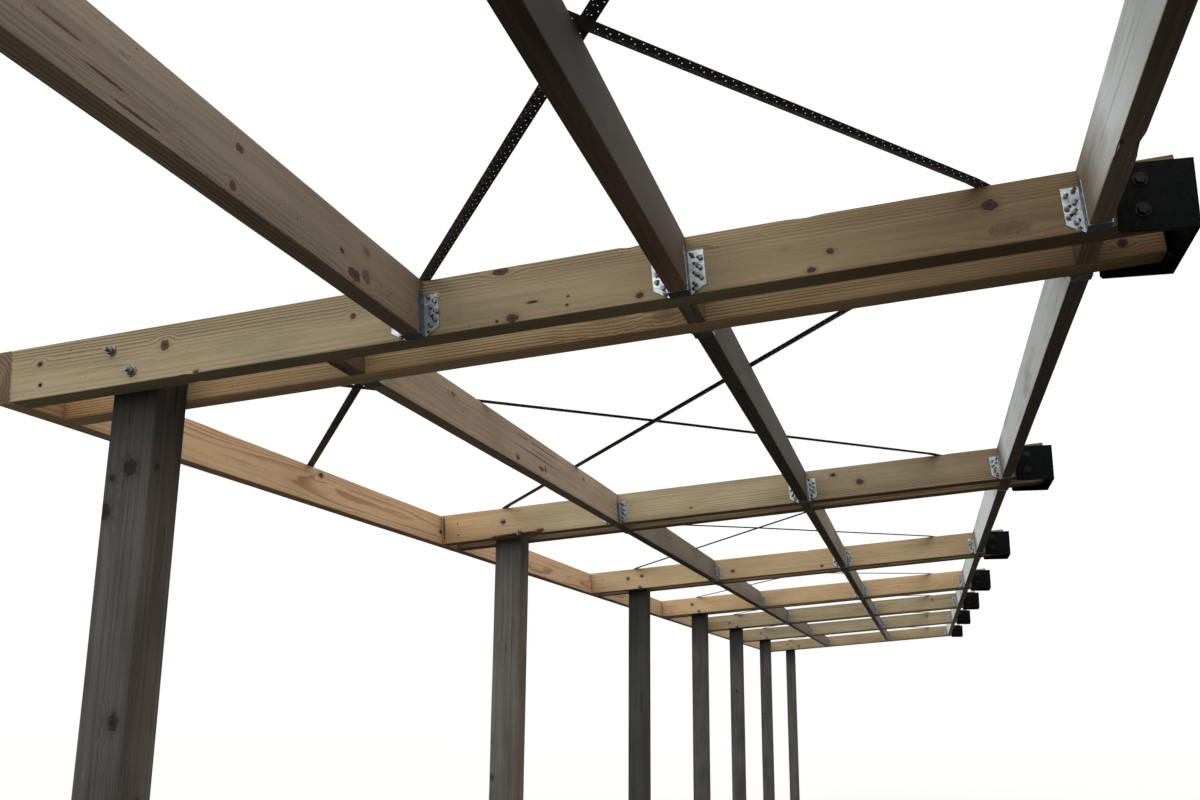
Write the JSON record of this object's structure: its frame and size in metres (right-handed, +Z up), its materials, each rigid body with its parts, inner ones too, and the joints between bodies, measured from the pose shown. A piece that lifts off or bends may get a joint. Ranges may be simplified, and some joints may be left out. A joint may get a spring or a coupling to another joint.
{
  "type": "timber pergola",
  "caption": "Lean-on timber pergola with clamped beam pairs on posts, joists in hangers, strap bracing and wall brackets.",
  "frame": {"origin": "on the wall face of the second frame's bracket, halfway up the beams", "axes": "+X points at the wall, +Y runs along the pergola, +Z is up"},
  "size_m": [2.8755, 19.356, 2.6796],
  "materials": {
    "post_timber": "weathered grey-brown sawn timber",
    "beam_timber": "new treated softwood, pale green-yellow, sawn",
    "joist_timber": "new treated softwood, grey-tan, sawn",
    "fascia_timber": "new treated softwood, warm tan, sawn",
    "galvanised_steel": "bright galvanised folded sheet",
    "strap_steel": "dull galvanised strap",
    "black_steel": "satin black paint"
  },
  "bodies": {
    "root": {"post_1": "post_timber", "post_2": "post_timber", "post_3": "post_timber", "post_4": "post_timber", "post_5": "post_timber", "post_6": "post_timber", "post_7": "post_timber", "post_8": "post_timber", "near_beam_1": "beam_timber", "far_beam_1": "beam_timber", "near_beam_2": "beam_timber", "far_beam_2": "beam_timber", "near_beam_3": "beam_timber", "far_beam_3": "beam_timber", "near_beam_4": "beam_timber", "far_beam_4": "beam_timber", "near_beam_5": "beam_timber", "far_beam_5": "beam_timber", "near_beam_6": "beam_timber", "far_beam_6": "beam_timber", "near_beam_7": "beam_timber", "far_beam_7": "beam_timber", "near_beam_8": "beam_timber", "far_beam_8": "beam_timber", "fascia_1": "fascia_timber", "fascia_2": "fascia_timber", "fascia_3": "fascia_timber", "joists_line_1": "joist_timber", "blocks_line_1": "joist_timber", "joist_hangers_line_1": "galvanised_steel", "joists_line_2": "joist_timber", "blocks_line_2": "joist_timber", "joist_hangers_line_2": "galvanised_steel", "joists_line_3": "joist_timber", "blocks_line_3": "joist_timber", "joist_hangers_line_3": "galvanised_steel", "lower_straps": "strap_steel", "upper_straps": "strap_steel", "long_strap": "strap_steel", "wall_brackets": "black_steel"}
  },
  "joints": []
}
